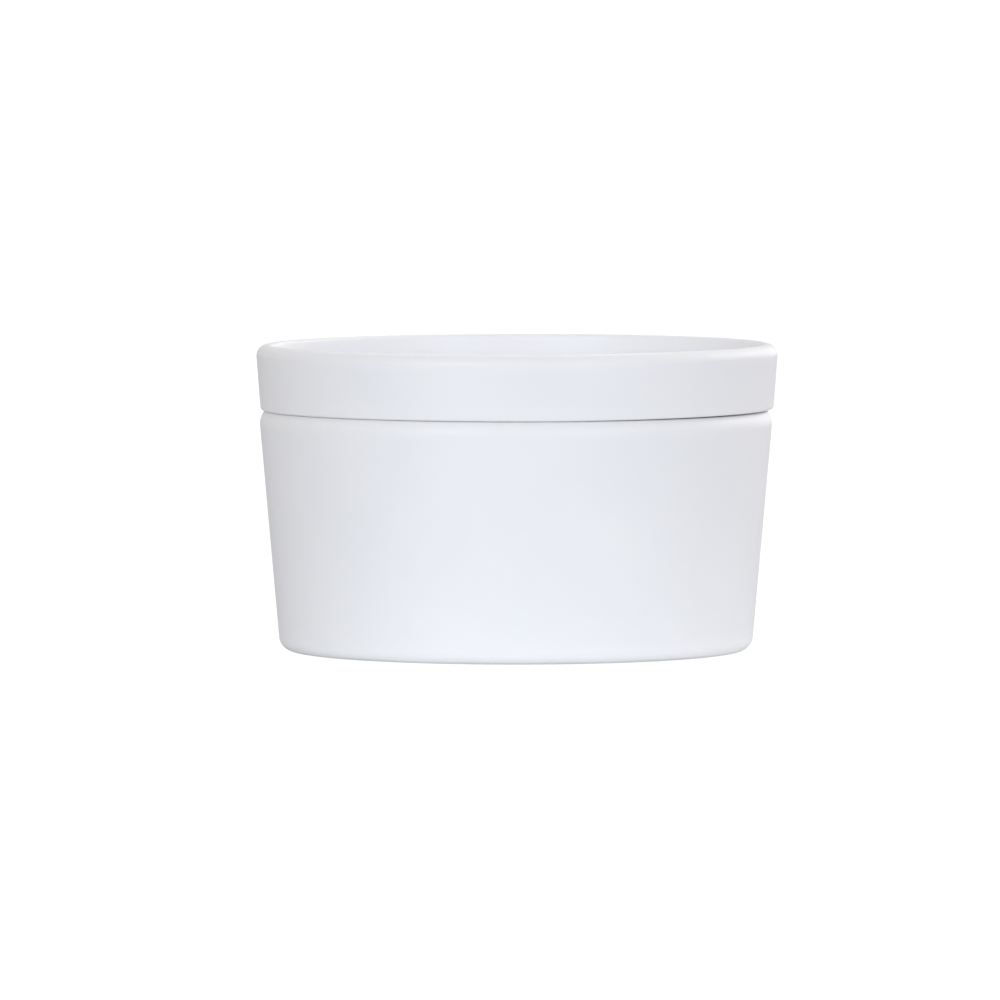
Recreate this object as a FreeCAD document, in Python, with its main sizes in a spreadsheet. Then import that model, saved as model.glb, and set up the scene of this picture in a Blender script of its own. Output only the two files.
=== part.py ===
"""A wide, low porcelain crucible with a loose dished lid.

Millimetres, +Z up. The origin is the centre of the base, on the plane that the crucible stands on.
Both pieces are solids of revolution about Z. The lid rests on the rim of the pot, and a ring under
the lid stands loosely inside the pot's mouth.
"""

import FreeCAD, Part
import os

import Sketcher
from FreeCAD import Vector

# The driving dimensions. A radius at a corner is where the two straight sides would meet, before the
# corner is rounded.
SIZES = {
    # pot, outside: a tapered wall up to the shoulder, then a slope in to the rim
    "pot_height": 35.0,
    "pot_base_radius": 34.4,
    "shoulder_radius": 37.44,
    "shoulder_height": 33.9,
    "rim_outer_radius": 36.65,
    "foot_round": 2.05,
    "shoulder_round": 3.0,
    "rim_outer_round": 0.2,
    # pot, inside: the wall is about 2.0 thick at the floor and 2.3 at the mouth
    "pot_floor": 2.3,
    "cavity_floor_radius": 32.55,
    "cavity_mouth_radius": 35.2,
    "cavity_floor_round": 4.5,
    "rim_inner_round": 0.5,
    # shallow recess under the pot, which leaves a foot ring to stand on
    "recess_depth": 0.6,
    "recess_radius": 30.6,
    "recess_top_radius": 30.1,
    "recess_round": 0.25,
    # lid, outside; heights are measured from the plane that rests on the pot
    "lid_height": 9.7,
    "lid_seat_radius": 37.4,
    "lid_rim_radius": 38.13,
    "lid_seat_round": 0.45,
    "lip_outer_round": 1.6,
    # dish in the top of the lid
    "lid_plate": 2.2,
    "dish_floor_radius": 35.1,
    "dish_mouth_radius": 35.75,
    "dish_floor_round": 2.5,
    "lip_inner_round": 0.6,
    # locating ring under the lid, 0.5 clear of the pot's mouth all round
    "ring_depth": 3.0,
    "ring_outer_radius": 34.7,
    "ring_tip_outer_radius": 34.4,
    "ring_inner_radius": 32.7,
    "ring_tip_inner_radius": 32.9,
    "ring_tip_round": 0.6,
    "ring_root_round": 0.4,
}


def make_sheet(doc):
    """Puts every driving dimension in a spreadsheet cell of its own, under its name."""
    sheet = doc.addObject("Spreadsheet::Sheet", "Sizes")
    for row, (name, value) in enumerate(SIZES.items(), start=1):
        sheet.set(f"A{row}", name)
        sheet.set(f"B{row}", str(value))
        sheet.setAlias(f"B{row}", name)
    doc.recompute()


def measured(cell):
    """The number that a corner's radius or height stands for: 0, or a cell's, with or without a minus."""
    if cell == 0:
        return 0.0
    return -SIZES[cell[1:]] if cell.startswith("-") else SIZES[cell]


def bind(sketch, line, axis, distance, cell):
    """Holds the start of a line on an axis of the sketch, or at the distance from it that a cell gives."""
    origin = (-1, 1)
    start = (line, 1)
    if cell == 0:
        sketch.addConstraint(Sketcher.Constraint("PointOnObject", *start, axis))
        return
    constraint = Sketcher.Constraint(distance, *origin, *start, measured(cell))
    index = sketch.addConstraint(constraint)
    sign = "-" if cell.startswith("-") else ""
    sketch.setExpression(f"Constraints[{index}]", f"{sign}Sizes.{cell.lstrip('-')}")


def half_section(body, name, outline):
    """A closed half section of straight lines on the body's XZ plane, each corner bound to the sheet."""
    sketch = body.newObject("Sketcher::SketchObject", name)
    plane = next(f for f in body.Origin.OriginFeatures if f.Role == "XZ_Plane")
    sketch.AttachmentSupport = [(plane, "")]
    sketch.MapMode = "FlatFace"
    corners = [Vector(measured(radius), measured(height), 0) for radius, height in outline]
    ends = corners[1:] + corners[:1]
    for start, end in zip(corners, ends):
        sketch.addGeometry(Part.LineSegment(start, end), False)
    for line in range(len(corners)):
        following = (line + 1) % len(corners)
        sketch.addConstraint(Sketcher.Constraint("Coincident", line, 2, following, 1))
    horizontal, vertical = -1, -2
    for line, (radius, height) in enumerate(outline):
        bind(sketch, line, vertical, "DistanceX", radius)
        bind(sketch, line, horizontal, "DistanceY", height)
    body.Document.recompute()
    return sketch


def turn(body, kind, name, outline):
    """Revolves a half section about Z, as a Revolution that adds or a Groove that cuts."""
    before = body.Shape.Volume if body.Tip else 0.0
    sketch = half_section(body, f"{name}_section", outline)
    feature = body.newObject(f"PartDesign::{kind}", name)
    feature.Profile = sketch
    feature.ReferenceAxis = (sketch, ["V_Axis"])
    feature.Angle = 360.0
    body.Document.recompute()
    gained = feature.Shape.Volume - before
    if (gained > 0) != (kind == "Revolution"):
        raise RuntimeError(f"{name} changed the volume by {gained:.1f}, which is the wrong way")


def circular_edge(shape, radius, height):
    """The name of the edge that is a circle about Z of a given radius and height."""
    tolerance = 1e-4
    for number, edge in enumerate(shape.Edges, start=1):
        curve = edge.Curve
        if not isinstance(curve, Part.Circle) or abs(curve.Radius - radius) > tolerance:
            continue
        if abs(curve.Center.z - height) < tolerance:
            return f"Edge{number}"
    raise RuntimeError(f"no circular edge of radius {radius} at height {height}")


def round_corners(body, name, size, corners):
    """Rounds circular edges of the body's latest shape to one radius from the sheet."""
    base = body.Tip
    edges = [circular_edge(base.Shape, measured(radius), measured(height)) for radius, height in corners]
    fillet = body.newObject("PartDesign::Fillet", name)
    fillet.Base = (base, edges)
    fillet.Radius = SIZES[size]
    fillet.setExpression("Radius", f"Sizes.{size}")
    body.Document.recompute()


def make_crucible(doc):
    """The pot: a tapered vessel with a soft shoulder, a rounded bottom corner and a shallow foot ring."""
    body = doc.addObject("PartDesign::Body", "Crucible")
    body.Label = "crucible"
    turn(body, "Revolution", "pot_blank", [
        (0, 0),
        ("pot_base_radius", 0),
        ("shoulder_radius", "shoulder_height"),
        ("rim_outer_radius", "pot_height"),
        (0, "pot_height"),
    ])
    turn(body, "Groove", "cavity", [
        (0, "pot_floor"),
        ("cavity_floor_radius", "pot_floor"),
        ("cavity_mouth_radius", "pot_height"),
        (0, "pot_height"),
    ])
    turn(body, "Groove", "foot_recess", [
        (0, 0),
        ("recess_radius", 0),
        ("recess_top_radius", "recess_depth"),
        (0, "recess_depth"),
    ])
    round_corners(body, "foot_rounding", "foot_round", [("pot_base_radius", 0)])
    round_corners(body, "shoulder_rounding", "shoulder_round", [("shoulder_radius", "shoulder_height")])
    round_corners(body, "rim_outer_rounding", "rim_outer_round", [("rim_outer_radius", "pot_height")])
    round_corners(body, "rim_inner_rounding", "rim_inner_round", [("cavity_mouth_radius", "pot_height")])
    round_corners(body, "floor_rounding", "cavity_floor_round", [("cavity_floor_radius", "pot_floor")])
    round_corners(body, "recess_rounding", "recess_round", [
        ("recess_radius", 0),
        ("recess_top_radius", "recess_depth"),
    ])
    return body


def make_lid(doc):
    """The lid: a plate with a raised rim that makes its top a dish, and a locating ring underneath."""
    body = doc.addObject("PartDesign::Body", "Lid")
    body.Label = "lid"
    turn(body, "Revolution", "lid_blank", [
        (0, 0),
        ("lid_seat_radius", 0),
        ("lid_rim_radius", "lid_height"),
        (0, "lid_height"),
    ])
    turn(body, "Groove", "dish", [
        (0, "lid_plate"),
        ("dish_floor_radius", "lid_plate"),
        ("dish_mouth_radius", "lid_height"),
        (0, "lid_height"),
    ])
    turn(body, "Revolution", "locating_ring", [
        ("ring_inner_radius", 0),
        ("ring_outer_radius", 0),
        ("ring_tip_outer_radius", "-ring_depth"),
        ("ring_tip_inner_radius", "-ring_depth"),
    ])
    round_corners(body, "seat_rounding", "lid_seat_round", [("lid_seat_radius", 0)])
    round_corners(body, "lip_outer_rounding", "lip_outer_round", [("lid_rim_radius", "lid_height")])
    round_corners(body, "lip_inner_rounding", "lip_inner_round", [("dish_mouth_radius", "lid_height")])
    round_corners(body, "dish_rounding", "dish_floor_round", [("dish_floor_radius", "lid_plate")])
    round_corners(body, "ring_tip_rounding", "ring_tip_round", [
        ("ring_tip_outer_radius", "-ring_depth"),
        ("ring_tip_inner_radius", "-ring_depth"),
    ])
    round_corners(body, "ring_root_rounding", "ring_root_round", [
        ("ring_outer_radius", 0),
        ("ring_inner_radius", 0),
    ])
    body.setExpression("Placement.Base.z", "Sizes.pot_height")
    return body


def check(doc, bodies):
    """Stops before anything is written if a feature failed or a piece isn't one valid solid."""
    for item in doc.Objects:
        if {"Invalid", "Error"} & set(item.State):
            raise RuntimeError(f"{item.Name} failed: {item.State}")
    for body in bodies:
        shape = body.Shape
        if shape.isNull() or not shape.isValid() or len(shape.Solids) != 1:
            raise RuntimeError(f"{body.Label} isn't one valid solid")
        box = shape.optimalBoundingBox(False)
        print(
            f"{body.Label}: {shape.Volume / 1000:.2f} ml of porcelain, {box.XLength:.2f} across, "
            f"from {box.ZMin:.2f} to {box.ZMax:.2f}"
        )


def main():
    doc = FreeCAD.newDocument("Crucible")
    make_sheet(doc)
    bodies = [make_crucible(doc), make_lid(doc)]
    doc.recompute()
    check(doc, bodies)
    os.makedirs("parts", exist_ok=True)
    for body in bodies:
        body.Shape.exportStep(f"parts/{body.Label}.step")


main()
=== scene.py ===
"""The looks of a porcelain crucible with a loose dished lid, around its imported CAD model.

Metres, +Z up. The pot and the lid are each turned about Z from an outline with rounded corners. Firing
has left them a little uneven, and both stay inside the box of the CAD model.
"""

import math

import bmesh
import bpy
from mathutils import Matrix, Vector, noise


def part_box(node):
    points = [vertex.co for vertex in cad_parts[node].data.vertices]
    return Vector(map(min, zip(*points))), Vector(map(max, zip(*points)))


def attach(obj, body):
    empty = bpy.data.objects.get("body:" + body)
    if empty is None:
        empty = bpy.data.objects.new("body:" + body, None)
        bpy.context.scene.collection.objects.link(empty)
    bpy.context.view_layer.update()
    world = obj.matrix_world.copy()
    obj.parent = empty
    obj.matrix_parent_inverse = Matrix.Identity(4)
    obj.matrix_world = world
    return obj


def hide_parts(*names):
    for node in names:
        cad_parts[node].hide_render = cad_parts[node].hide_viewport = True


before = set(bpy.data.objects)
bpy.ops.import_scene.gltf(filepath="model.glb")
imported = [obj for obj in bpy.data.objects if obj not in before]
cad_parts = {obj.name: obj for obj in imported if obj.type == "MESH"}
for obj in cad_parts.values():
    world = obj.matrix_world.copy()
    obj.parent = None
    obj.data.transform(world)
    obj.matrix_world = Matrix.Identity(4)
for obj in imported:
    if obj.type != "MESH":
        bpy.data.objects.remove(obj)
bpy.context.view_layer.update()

MM = 0.001

# The heights that the pieces meet at and reach, and the widest radius, from the frame.
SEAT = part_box("crucible")[1].z
RING_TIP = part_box("lid")[0].z
LID_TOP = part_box("lid")[1].z
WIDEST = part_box("lid")[1].x

# The pot. A radius at a corner is where its two straight sides would meet.
POT_BASE_RADIUS = 34.4 * MM
SHOULDER_RADIUS = 37.44 * MM
SHOULDER_HEIGHT = 33.9 * MM
RIM_OUTER_RADIUS = 36.65 * MM
FOOT_ROUND = 2.05 * MM
SHOULDER_ROUND = 3.0 * MM
RIM_OUTER_ROUND = 0.2 * MM
RIM_INNER_ROUND = 0.5 * MM
POT_FLOOR = 2.3 * MM
CAVITY_FLOOR_RADIUS = 32.55 * MM
CAVITY_MOUTH_RADIUS = 35.2 * MM
CAVITY_FLOOR_ROUND = 4.5 * MM
RECESS_DEPTH = 0.6 * MM
RECESS_RADIUS = 30.6 * MM
RECESS_TOP_RADIUS = 30.1 * MM
RECESS_ROUND = 0.25 * MM

# The lid.
LID_SEAT_RADIUS = 37.4 * MM
LID_RIM_RADIUS = 38.13 * MM
LID_SEAT_ROUND = 0.45 * MM
LIP_OUTER_ROUND = 1.6 * MM
LIP_INNER_ROUND = 0.6 * MM
LID_PLATE = 2.2 * MM
DISH_FLOOR = SEAT + LID_PLATE
DISH_FLOOR_RADIUS = 35.1 * MM
DISH_MOUTH_RADIUS = 35.75 * MM
DISH_FLOOR_ROUND = 2.5 * MM
RING_OUTER_RADIUS = 34.7 * MM
RING_TIP_OUTER_RADIUS = 34.4 * MM
RING_INNER_RADIUS = 32.7 * MM
RING_TIP_INNER_RADIUS = 32.9 * MM
RING_TIP_ROUND = 0.6 * MM
RING_ROOT_ROUND = 0.4 * MM

# How finely the outlines and the turning are divided.
AROUND = 360
STEP = 0.7 * MM
ARC_STEP = math.radians(6)

# What firing has done: a wobble of the walls, a lid whose rim sinks to one side and whose seat opens to the
# other, and turning marks. LID_GAP is left all round by the grain of the two bare faces. The loose lid also
# sits off the pot's middle. The pot is the piece that is moved, because the lid fills the CAD box.
POT_OFF_CENTRE = 0.16 * MM
WOBBLE = 0.05 * MM
WOBBLE_TURNS = 1.1
POT_DRIFT = Vector((3.1, 0.4, 7.7))
LID_DRIFT = Vector((8.2, 5.9, 1.3))
LID_SINKS = 0.14 * MM
LID_GAP = 0.04 * MM
LID_OPENS = 0.18 * MM
LID_OPENS_FROM = 0.1 * WIDEST
MARK_DEPTH = 0.018 * MM
MARK_PITCH = 3.7 * MM
MARK_MARGIN = 6 * MM

# Where glaze is missing: below a wandering line round the foot, within SEAT_LINE of the seam on the pot, and
# outside SEAT_BARE_INSIDE under the lid. It ends over GLAZE_FADE. It pools in a hollow and thins out on an
# edge over POOL_REACH, fully where the outline bends as tightly as POOL_CURVATURE.
GLAZE_LINE = 0.3 * MM
GLAZE_LINE_WANDERS = 0.12 * MM
GLAZE_LINE_TURNS = 3
GLAZE_FADE = 0.1 * MM
SEAT_LINE = 0.05 * MM
SEAT_BARE_INSIDE = 34.95 * MM
POOL_REACH = 1.2 * MM
POOL_CURVATURE = 0.25 / MM


def blend(value, start, end):
    """0 up to start, 1 from end on, and a smooth ramp between. start may be the higher one."""
    share = min(1, max(0, (value - start) / (end - start)))
    return share * share * (3 - 2 * share)


def put(name, data):
    """A new object in the scene."""
    thing = bpy.data.objects.new(name, data)
    bpy.context.scene.collection.objects.link(thing)
    return thing


def turned_towards(start, end, share):
    """A vector turned part of the way from start to end, which are equally long."""
    angle = start.angle(end)
    first = math.sin((1 - share) * angle) / math.sin(angle)
    second = math.sin(share * angle) / math.sin(angle)
    return start * first + end * second


def rounded_corner(before, corner, after, rounding):
    """Points along the arc that rounds a corner, from the side that comes in to the side that leaves."""
    back = (before - corner).normalized()
    forth = (after - corner).normalized()
    half = back.angle(forth) / 2
    centre = corner + (back + forth).normalized() * rounding / math.sin(half)
    start = corner + back * rounding / math.tan(half) - centre
    end = corner + forth * rounding / math.tan(half) - centre
    count = math.ceil((math.pi - 2 * half) / ARC_STEP)
    return [centre + turned_towards(start, end, i / count) for i in range(count + 1)]


def outline(corners):
    """Evenly divided points (radius, height) through corners of (radius, height, rounding)."""
    places = [Vector((radius, height)) for radius, height, rounding in corners]
    path = [places[0]]
    for i in range(1, len(corners) - 1):
        path += rounded_corner(places[i - 1], places[i], places[i + 1], corners[i][2])
    path.append(places[-1])
    points = [path[0]]
    for start, end in zip(path, path[1:]):
        pieces = max(1, math.ceil((end - start).length / STEP))
        points += [start.lerp(end, i / pieces) for i in range(1, pieces + 1)]
    return points


def turning_marks(points, floor, floor_radius):
    """Lowers a flat floor by the faint rings that a turning tool leaves in it."""
    for point in points:
        if abs(point.y - floor) > MARK_DEPTH:
            continue
        wave = 0.5 - 0.5 * math.cos(2 * math.pi * point.x / MARK_PITCH)
        point.y -= MARK_DEPTH * wave * blend(point.x, floor_radius, floor_radius - MARK_MARGIN)


def hollowness(points):
    """For each point of an outline, 1 in a tight hollow, 0 on a straight side, and -1 on a tight edge."""
    along = [0.0]
    for start, end in zip(points, points[1:]):
        along.append(along[-1] + (end - start).length)
    bends = [0.0]
    for before, here, after in zip(points, points[1:], points[2:]):
        bends.append((here - before).angle_signed(after - here))
    bends.append(0.0)
    result = []
    for place in along:
        near = [math.exp(-0.5 * ((place - other) / POOL_REACH) ** 2) for other in along]
        curvature = sum(bend * share for bend, share in zip(bends, near))
        curvature /= POOL_REACH * math.sqrt(2 * math.pi)
        result.append(min(1, max(-1, curvature / POOL_CURVATURE)))
    return result


def wobble(radius, angle, height, drift):
    """A place on a wall, pulled inwards by a smooth, low wobble. drift makes two pieces differ."""
    way = Vector((math.cos(angle), math.sin(angle), height / WIDEST))
    inwards = WOBBLE * (0.5 + 0.5 * noise.noise(way * WOBBLE_TURNS + drift))
    pulled = radius - inwards * radius / WIDEST
    return Vector((pulled * math.cos(angle), pulled * math.sin(angle), height))


def settle_pot(radius, angle, height):
    """The pot's place under the lid: its walls wobble, and it stands a little towards -X."""
    return wobble(radius, angle, height, POT_DRIFT) - Vector((POT_OFF_CENTRE, 0, 0))


def settle_lid(radius, angle, height):
    """The lid's place after firing: its rim sinks a little at -X, and its seat opens a little at +X."""
    place = wobble(radius, angle, height, LID_DRIFT)
    opening = LID_GAP + LID_OPENS * blend(place.x, LID_OPENS_FROM, WIDEST)
    sinking = LID_SINKS * (0.5 - 0.5 * place.x / WIDEST)
    share = blend(height, SEAT, LID_TOP)
    place.z += opening * (1 - share) - sinking * share
    return place


def bare_pot(radius, angle, height):
    """1 where the pot has no glaze, on its foot and on the rim that the lid rests on."""
    way = Vector((math.cos(angle), math.sin(angle), 0))
    line = GLAZE_LINE + GLAZE_LINE_WANDERS * noise.noise(way * GLAZE_LINE_TURNS)
    foot = blend(height, line + GLAZE_FADE, line) * blend(radius, RECESS_TOP_RADIUS, RECESS_RADIUS)
    rim = blend(height, SEAT - SEAT_LINE - GLAZE_FADE, SEAT - SEAT_LINE)
    return max(foot, rim)


def bare_lid(radius, angle, height):
    """1 where the lid has no glaze, on the face that rests on the pot."""
    outside_ring = blend(radius, SEAT_BARE_INSIDE - GLAZE_FADE, SEAT_BARE_INSIDE)
    return blend(height, SEAT + GLAZE_FADE, SEAT) * outside_ring


def turned(name, points, settle, bareness):
    """A piece turned about Z from an outline that starts and ends on the axis.

    settle says where a place ends up, and bareness how bare of glaze it is. The mesh keeps bareness and
    hollowness as vertex attributes, bare and pool. On the axis a ring is one vertex, and faces are triangles.
    """
    mesh = bmesh.new()
    bare = mesh.verts.layers.float.new("bare")
    pool = mesh.verts.layers.float.new("pool")
    rings = []
    for point, hollow in zip(points, hollowness(points)):
        on_axis = point.x < STEP / 2
        ring = []
        for i in range(1 if on_axis else AROUND):
            angle = 2 * math.pi * i / AROUND
            vertex = mesh.verts.new(settle(point.x, angle, point.y))
            vertex[bare] = bareness(point.x, angle, point.y)
            vertex[pool] = hollow
            ring.append(vertex)
        rings.append(ring)
    for inner, outer in zip(rings, rings[1:]):
        for i in range(AROUND):
            j = (i + 1) % AROUND
            near = (inner[i % len(inner)], outer[i % len(outer)])
            far = (outer[j % len(outer)], inner[j % len(inner)])
            corners = list(dict.fromkeys(near + far))
            mesh.faces.new(corners).smooth = True
    bmesh.ops.recalc_face_normals(mesh, faces=mesh.faces)
    data = bpy.data.meshes.new(name)
    mesh.to_mesh(data)
    mesh.free()
    return put(name, data)


def make_pot():
    """The pot, from the middle of its underside round the rim to the middle of its floor."""
    points = outline([
        (0, RECESS_DEPTH, 0),
        (RECESS_TOP_RADIUS, RECESS_DEPTH, RECESS_ROUND),
        (RECESS_RADIUS, 0, RECESS_ROUND),
        (POT_BASE_RADIUS, 0, FOOT_ROUND),
        (SHOULDER_RADIUS, SHOULDER_HEIGHT, SHOULDER_ROUND),
        (RIM_OUTER_RADIUS, SEAT, RIM_OUTER_ROUND),
        (CAVITY_MOUTH_RADIUS, SEAT, RIM_INNER_ROUND),
        (CAVITY_FLOOR_RADIUS, POT_FLOOR, CAVITY_FLOOR_ROUND),
        (0, POT_FLOOR, 0),
    ])
    turning_marks(points, POT_FLOOR, CAVITY_FLOOR_RADIUS - CAVITY_FLOOR_ROUND)
    return turned("porcelain_pot", points, settle_pot, bare_pot)


def make_lid():
    """The lid, from the middle of its underside round the ring and the lip to the middle of its dish."""
    points = outline([
        (0, SEAT, 0),
        (RING_INNER_RADIUS, SEAT, RING_ROOT_ROUND),
        (RING_TIP_INNER_RADIUS, RING_TIP, RING_TIP_ROUND),
        (RING_TIP_OUTER_RADIUS, RING_TIP, RING_TIP_ROUND),
        (RING_OUTER_RADIUS, SEAT, RING_ROOT_ROUND),
        (LID_SEAT_RADIUS, SEAT, LID_SEAT_ROUND),
        (LID_RIM_RADIUS, LID_TOP, LIP_OUTER_ROUND),
        (DISH_MOUTH_RADIUS, LID_TOP, LIP_INNER_ROUND),
        (DISH_FLOOR_RADIUS, DISH_FLOOR, DISH_FLOOR_ROUND),
        (0, DISH_FLOOR, 0),
    ])
    turning_marks(points, DISH_FLOOR, DISH_FLOOR_RADIUS - DISH_FLOOR_ROUND)
    return turned("porcelain_lid", points, settle_lid, bare_lid)


class Nodes:
    """Adds nodes to a tree. Sockets are given in a dictionary, and keywords set the node's own properties."""

    def __init__(self, tree):
        self.tree = tree
        tree.nodes.clear()

    def feed(self, socket, value):
        """Gives a socket a constant or another node's output."""
        if isinstance(value, bpy.types.NodeSocket):
            self.tree.links.new(value, socket)
        else:
            socket.default_value = value

    def add(self, kind, sockets, output=0, **settings):
        """A new node's output, or the node itself if it has none."""
        node = self.tree.nodes.new(kind)
        for name, value in settings.items():
            setattr(node, name, value)
        for name, value in sockets.items():
            self.feed(node.inputs[name], value)
        return node.outputs[output] if node.outputs else node

    def maths(self, operation, first, second):
        """A number worked out from two."""
        return self.add("ShaderNodeMath", {0: first, 1: second}, operation=operation)

    def vector(self, operation, sockets, output="Vector"):
        """A vector, or with output "Value" a number, worked out from vectors."""
        return self.add("ShaderNodeVectorMath", sockets, output, operation=operation)

    def spread(self, value, low, high, to_low, to_high):
        """A value between low and high, spread over to_low to to_high with smooth ends."""
        sockets = {"Value": value, "From Min": low, "From Max": high, "To Min": to_low, "To Max": to_high}
        return self.add("ShaderNodeMapRange", sockets, interpolation_type="SMOOTHSTEP")

    def noise(self, place, wavelength, detail):
        """Noise around 0.5, with waves about as long as wavelength."""
        sockets = {"Vector": place, "Scale": 1 / wavelength, "Detail": detail, "Roughness": 0.5}
        return self.add("ShaderNodeTexNoise", sockets)

    def mixed(self, share, first, second):
        """A colour between two."""
        node = self.tree.nodes.new("ShaderNodeMix")
        node.data_type = "RGBA"
        inputs = [socket for socket in node.inputs if socket.enabled]
        for socket, value in zip(inputs, (share, first, second)):
            self.feed(socket, value)
        return next(socket for socket in node.outputs if socket.enabled)


# The glaze and the bare porcelain under it. Lengths are in millimetres.
GLAZE_PALE = (0.885, 0.893, 0.908, 1)
GLAZE_DEEP = (0.862, 0.876, 0.896, 1)
GLAZE_POOLED = (0.835, 0.865, 0.893, 1)
GLAZE_THIN = (0.89, 0.896, 0.907, 1)
BISQUE = (0.805, 0.805, 0.803, 1)
BISQUE_DUSTY = (0.75, 0.75, 0.746, 1)
SPECK = (0.45, 0.42, 0.38, 1)
GLAZE_ROUGHNESS = 0.4
BISQUE_ROUGHNESS = 0.78
GLAZE_IOR = 1.5
SCATTER_SHARE = 0.12
SCATTER_REACH = 0.7
SCATTER_REACH_BY_COLOUR = (1.0, 0.9, 0.8)

# Clouds in the glaze's colour and patches in its roughness, the noise where both start and are full, and how
# much smoother or rougher patches and pools are.
CLOUD_SIZE = 14
PATCH_SIZE = 7
NOISE_START = 0.3
NOISE_FULL = 0.7
SMOOTHER_PATCH = -0.04
ROUGHER_PATCH = 0.05
SMOOTHER_IN_POOL = 0.08

# The hollowness where glaze starts to pool or thin, and how much of its colour then changes.
POOL_START = 0.1
POOL_SHARE = 0.8
THIN_START = -0.3
THIN_SHARE = 0.6

# Orange peel, long waves, the grain of bare porcelain, specks and pinholes.
PEEL_SIZE = 1.3
PEEL_HEIGHT = 0.006
WAVE_SIZE = 9
WAVE_HEIGHT = 0.03
GRAIN_SIZE = 0.18
GRAIN_HEIGHT = 0.02
SPECK_SPACING = 5
SPECK_RADIUS = 0.13
SPECK_SHARE = 0.35
PINHOLE_SPACING = 4
PINHOLE_RADIUS = 0.1
PINHOLE_DEPTH = 0.02
PINHOLE_DRIFT = (31, 17, 5)


def dots(nodes, place, spacing, radius):
    """1 at the middle of scattered dots about that far apart, 0 outside their radius."""
    sockets = {"Vector": place, "Scale": 1 / spacing}
    distance = nodes.add("ShaderNodeTexVoronoi", sockets, feature="F1")
    return nodes.spread(distance, 0, radius / spacing, 1, 0)


def glaze_colour(nodes, place, bare, pool):
    """White that clouds a little, turns cooler where glaze pools and warmer where it thins or is missing."""
    cloud = nodes.spread(nodes.noise(place, CLOUD_SIZE, detail=3), NOISE_START, NOISE_FULL, 0, 1)
    pooled = nodes.spread(pool, POOL_START, 1, 0, POOL_SHARE)
    thin = nodes.spread(pool, THIN_START, -1, 0, THIN_SHARE)
    specks = nodes.maths("MULTIPLY", dots(nodes, place, SPECK_SPACING, SPECK_RADIUS), SPECK_SHARE)
    glaze = nodes.mixed(cloud, GLAZE_PALE, GLAZE_DEEP)
    glaze = nodes.mixed(pooled, glaze, GLAZE_POOLED)
    glaze = nodes.mixed(thin, glaze, GLAZE_THIN)
    glaze = nodes.mixed(specks, glaze, SPECK)
    bisque = nodes.mixed(nodes.noise(place, PEEL_SIZE, detail=4), BISQUE, BISQUE_DUSTY)
    return nodes.mixed(bare, glaze, bisque)


def glaze_roughness(nodes, place, bare, pool):
    """Satin that varies slowly, is smoother where glaze pools, and is matt where there is none."""
    patches = nodes.noise(place, PATCH_SIZE, detail=4)
    patches = nodes.spread(patches, NOISE_START, NOISE_FULL, SMOOTHER_PATCH, ROUGHER_PATCH)
    satin = nodes.maths("ADD", patches, GLAZE_ROUGHNESS)
    satin = nodes.maths("SUBTRACT", satin, nodes.spread(pool, 0, 1, 0, SMOOTHER_IN_POOL))
    return nodes.spread(bare, 0, 1, satin, BISQUE_ROUGHNESS)


def glaze_relief(nodes, place, bare):
    """Orange peel, long waves, pinholes and the grain of bare porcelain, as a normal."""
    peel = nodes.maths("MULTIPLY", nodes.noise(place, PEEL_SIZE, detail=2), PEEL_HEIGHT)
    wave = nodes.maths("MULTIPLY", nodes.noise(place, WAVE_SIZE, detail=1), WAVE_HEIGHT)
    grain = nodes.maths("MULTIPLY", nodes.noise(place, GRAIN_SIZE, detail=3), GRAIN_HEIGHT)
    grain = nodes.maths("MULTIPLY", grain, bare)
    drifted = nodes.vector("ADD", {0: place, 1: PINHOLE_DRIFT})
    pits = nodes.maths("MULTIPLY", dots(nodes, drifted, PINHOLE_SPACING, PINHOLE_RADIUS), -PINHOLE_DEPTH)
    height = nodes.maths("ADD", nodes.maths("ADD", peel, wave), nodes.maths("ADD", grain, pits))
    return nodes.add("ShaderNodeBump", {"Strength": 1.0, "Distance": MM, "Height": height})


def porcelain():
    """White porcelain under a satin glaze, with places in millimetres on the piece."""
    material = bpy.data.materials.new("porcelain")
    material.use_nodes = True
    nodes = Nodes(material.node_tree)
    coordinates = nodes.add("ShaderNodeTexCoord", {}, output="Object")
    place = nodes.vector("SCALE", {0: coordinates, "Scale": 1 / MM})
    bare = nodes.add("ShaderNodeAttribute", {}, output="Fac", attribute_name="bare")
    pool = nodes.add("ShaderNodeAttribute", {}, output="Fac", attribute_name="pool")
    shader = nodes.add("ShaderNodeBsdfPrincipled", {
        "Base Color": glaze_colour(nodes, place, bare, pool),
        "Roughness": glaze_roughness(nodes, place, bare, pool),
        "Normal": glaze_relief(nodes, place, bare),
        "IOR": GLAZE_IOR,
        "Subsurface Weight": SCATTER_SHARE,
        "Subsurface Radius": SCATTER_REACH_BY_COLOUR,
        "Subsurface Scale": SCATTER_REACH * MM,
    })
    nodes.add("ShaderNodeOutputMaterial", {"Surface": shader})
    return material


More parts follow.
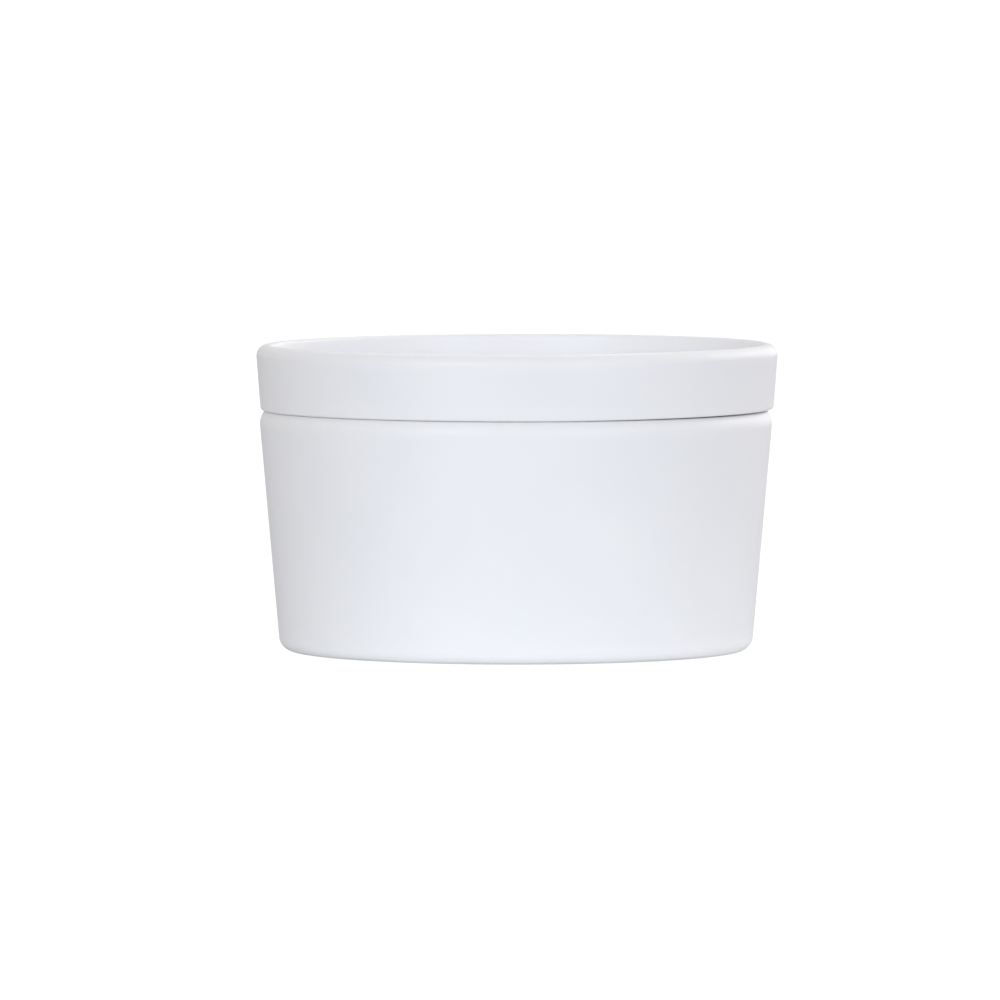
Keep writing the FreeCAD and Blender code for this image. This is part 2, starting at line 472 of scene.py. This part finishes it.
# The studio. The camera sees the floor and the world as one white, but for a shadow painted on the floor
# round the foot, and the piece is lit by the rest. The glow is light that the floor throws back at the piece,
# strongest in front of it. The floor is shifted along X so that its diagonal, where its two triangles meet,
# isn't under the piece and draws no line there.
WHITE = (1.0, 1.0, 1.0, 1)
SEEN_WHITE = 1.1
FILL_COLOUR = (0.616, 0.583, 0.575, 1)
FLOOR_HALF = 12.0
FLOOR_SHIFT = 4.0
FLOOR_DROP = 0.02 * MM
FLOOR_GREY = (0.5, 0.5, 0.5, 1)
GLOW_COLOUR = (0.945, 0.97, 1.0, 1)
GLOW_IN_FRONT = 0.465
AWAY_FROM_GLOW = (-0.2, 0.98, 0.0)
GLOW_REACH = 120 * MM
UNDER_GLOW = 0.55
UNDER_EDGE = 32.5 * MM
UNDER_FADE = 0.4 * MM
# The next two: a shadow painted into the floor's white round the foot, how much it darkens there and how fast
# it fades.
PAINTED_SHADOW_DARK = 0.4
PAINTED_SHADOW_REACH = 1.6 * MM

# Softboxes: azimuth (0 is the camera's side, 90 its right) and elevation in degrees, height in metres, power
# in watts, and colour. Two low keys stand in front. Three lights to the right and behind pick out the rims.
LIGHT_DISTANCE = 1.5
LIGHT_WIDTH = 0.9
SOFTBOXES = {
    "left_key": (-30, 13, 0.72, 5.9, (0.835, 0.92, 1.0)),
    "right_key": (30, 13, 0.72, 4.5, (0.795, 0.89, 1.0)),
    "side": (120, 30, 0.9, 4.7, (0.97, 0.97, 1.0)),
    "rear": (150, 13, 0.72, 2.4, (0.97, 0.97, 1.0)),
    "back": (180, 50, 0.9, 3.2, (0.97, 0.97, 1.0)),
}

# The camera.
LENS = 432
SENSOR = 36
CAMERA_PLACE = (-2.49 * MM, -1.7474, 117 * MM)
CAMERA_AIM = (-2.49 * MM, 0, 21.84 * MM)
CLIP_NEAR = 0.1
CLIP_FAR = 40


def make_world():
    """An even white that the camera sees, and a dimmer, even light that fills every shadow."""
    world = bpy.data.worlds.new("studio")
    bpy.context.scene.world = world
    world.use_nodes = True
    nodes = Nodes(world.node_tree)
    fill = nodes.add("ShaderNodeBackground", {"Color": FILL_COLOUR})
    seen = nodes.add("ShaderNodeBackground", {"Color": WHITE, "Strength": SEEN_WHITE})
    to_camera = nodes.add("ShaderNodeLightPath", {}, output="Is Camera Ray")
    mix = nodes.add("ShaderNodeMixShader", {0: to_camera, 1: fill, 2: seen})
    nodes.add("ShaderNodeOutputWorld", {"Surface": mix})


def faded(nodes, distance, reach):
    """1 at no distance, and less by a factor of e at each reach."""
    return nodes.maths("POWER", math.e, nodes.maths("DIVIDE", distance, -reach))


def floor_glow(nodes, place, distance, beyond_foot):
    """How strongly the floor glows: evenly under the piece, and then less with distance and behind it."""
    outwards = nodes.vector("NORMALIZE", {0: place})
    behind = nodes.vector("DOT_PRODUCT", {0: outwards, 1: AWAY_FROM_GLOW}, "Value")
    glow = nodes.spread(behind, -1, 1, GLOW_IN_FRONT, 0)
    glow = nodes.spread(distance, UNDER_EDGE - UNDER_FADE, UNDER_EDGE, UNDER_GLOW, glow)
    return nodes.maths("MULTIPLY", glow, faded(nodes, beyond_foot, GLOW_REACH))


def floor_material():
    """White to the camera but for a shadow painted round the foot, clear from below, and to the piece a
    glowing grey.
    """
    material = bpy.data.materials.new("floor")
    material.use_nodes = True
    nodes = Nodes(material.node_tree)
    place = nodes.add("ShaderNodeTexCoord", {}, output="Object")
    distance = nodes.vector("LENGTH", {0: place}, "Value")
    beyond_foot = nodes.maths("MAXIMUM", nodes.maths("SUBTRACT", distance, RECESS_RADIUS), 0.0)

    strength = floor_glow(nodes, place, distance, beyond_foot)
    glow = nodes.add("ShaderNodeEmission", {"Color": GLOW_COLOUR, "Strength": strength})
    grey = nodes.add("ShaderNodeBsdfDiffuse", {"Color": FLOOR_GREY})
    lit = nodes.add("ShaderNodeAddShader", {0: grey, 1: glow})

    # A shadow painted into the white that the camera sees, darkest at the foot and fading outwards.
    painted_foot_shadow = nodes.maths("MULTIPLY", faded(nodes, beyond_foot, PAINTED_SHADOW_REACH), PAINTED_SHADOW_DARK)
    seen = nodes.add("ShaderNodeEmission", {"Strength": nodes.maths("SUBTRACT", SEEN_WHITE, painted_foot_shadow)})

    to_camera = nodes.add("ShaderNodeLightPath", {}, output="Is Camera Ray")
    above = nodes.add("ShaderNodeMixShader", {0: to_camera, 1: lit, 2: seen})
    from_below = nodes.add("ShaderNodeNewGeometry", {}, output="Backfacing")
    clear = nodes.add("ShaderNodeBsdfTransparent", {})
    surface = nodes.add("ShaderNodeMixShader", {0: from_below, 1: above, 2: clear})
    nodes.add("ShaderNodeOutputMaterial", {"Surface": surface})
    return material


def make_floor():
    """A wide square just under the foot. Its origin stays on the Z axis, where its pattern starts."""
    data = bpy.data.meshes.new("floor")
    corners = [(-1, -1), (1, -1), (1, 1), (-1, 1)]
    places = [(FLOOR_SHIFT + x * FLOOR_HALF, y * FLOOR_HALF, -FLOOR_DROP) for x, y in corners]
    data.from_pydata(places, [], [(0, 1, 2, 3)])
    data.materials.append(floor_material())
    floor = put("floor", data)


def softbox(name, azimuth, elevation, height, power, colour):
    """A rectangular light aimed at the middle of the object."""
    light = bpy.data.lights.new(name, "AREA")
    light.shape = "RECTANGLE"
    light.size = LIGHT_WIDTH
    light.size_y = height
    light.energy = power
    light.color = colour
    around, up = math.radians(azimuth), math.radians(elevation)
    away = Vector((math.sin(around) * math.cos(up), -math.cos(around) * math.cos(up), math.sin(up)))
    lamp = put(name, light)
    lamp.location = Vector((0, 0, LID_TOP / 2)) + away * LIGHT_DISTANCE
    lamp.rotation_mode = "QUATERNION"
    lamp.rotation_quaternion = away.to_track_quat("Z", "Y")


def make_camera():
    """A long lens from a little above the lid, aimed just left of the middle of the piece."""
    camera = bpy.data.cameras.new("camera")
    camera.sensor_width = SENSOR
    camera.lens = LENS
    camera.clip_start = CLIP_NEAR
    camera.clip_end = CLIP_FAR
    stand = put("camera", camera)
    stand.location = Vector(CAMERA_PLACE)
    stand.rotation_mode = "QUATERNION"
    stand.rotation_quaternion = (Vector(CAMERA_AIM) - stand.location).to_track_quat("-Z", "Y")
    bpy.context.scene.camera = stand


bpy.context.scene.view_settings.view_transform = "Standard"
make_camera()
make_world()
make_floor()
for name, settings in SOFTBOXES.items():
    softbox(name, *settings)

glaze = porcelain()
for piece, node in ((make_pot(), "crucible"), (make_lid(), "lid")):
    piece.data.materials.append(glaze)
    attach(piece, node)
    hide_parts(node)
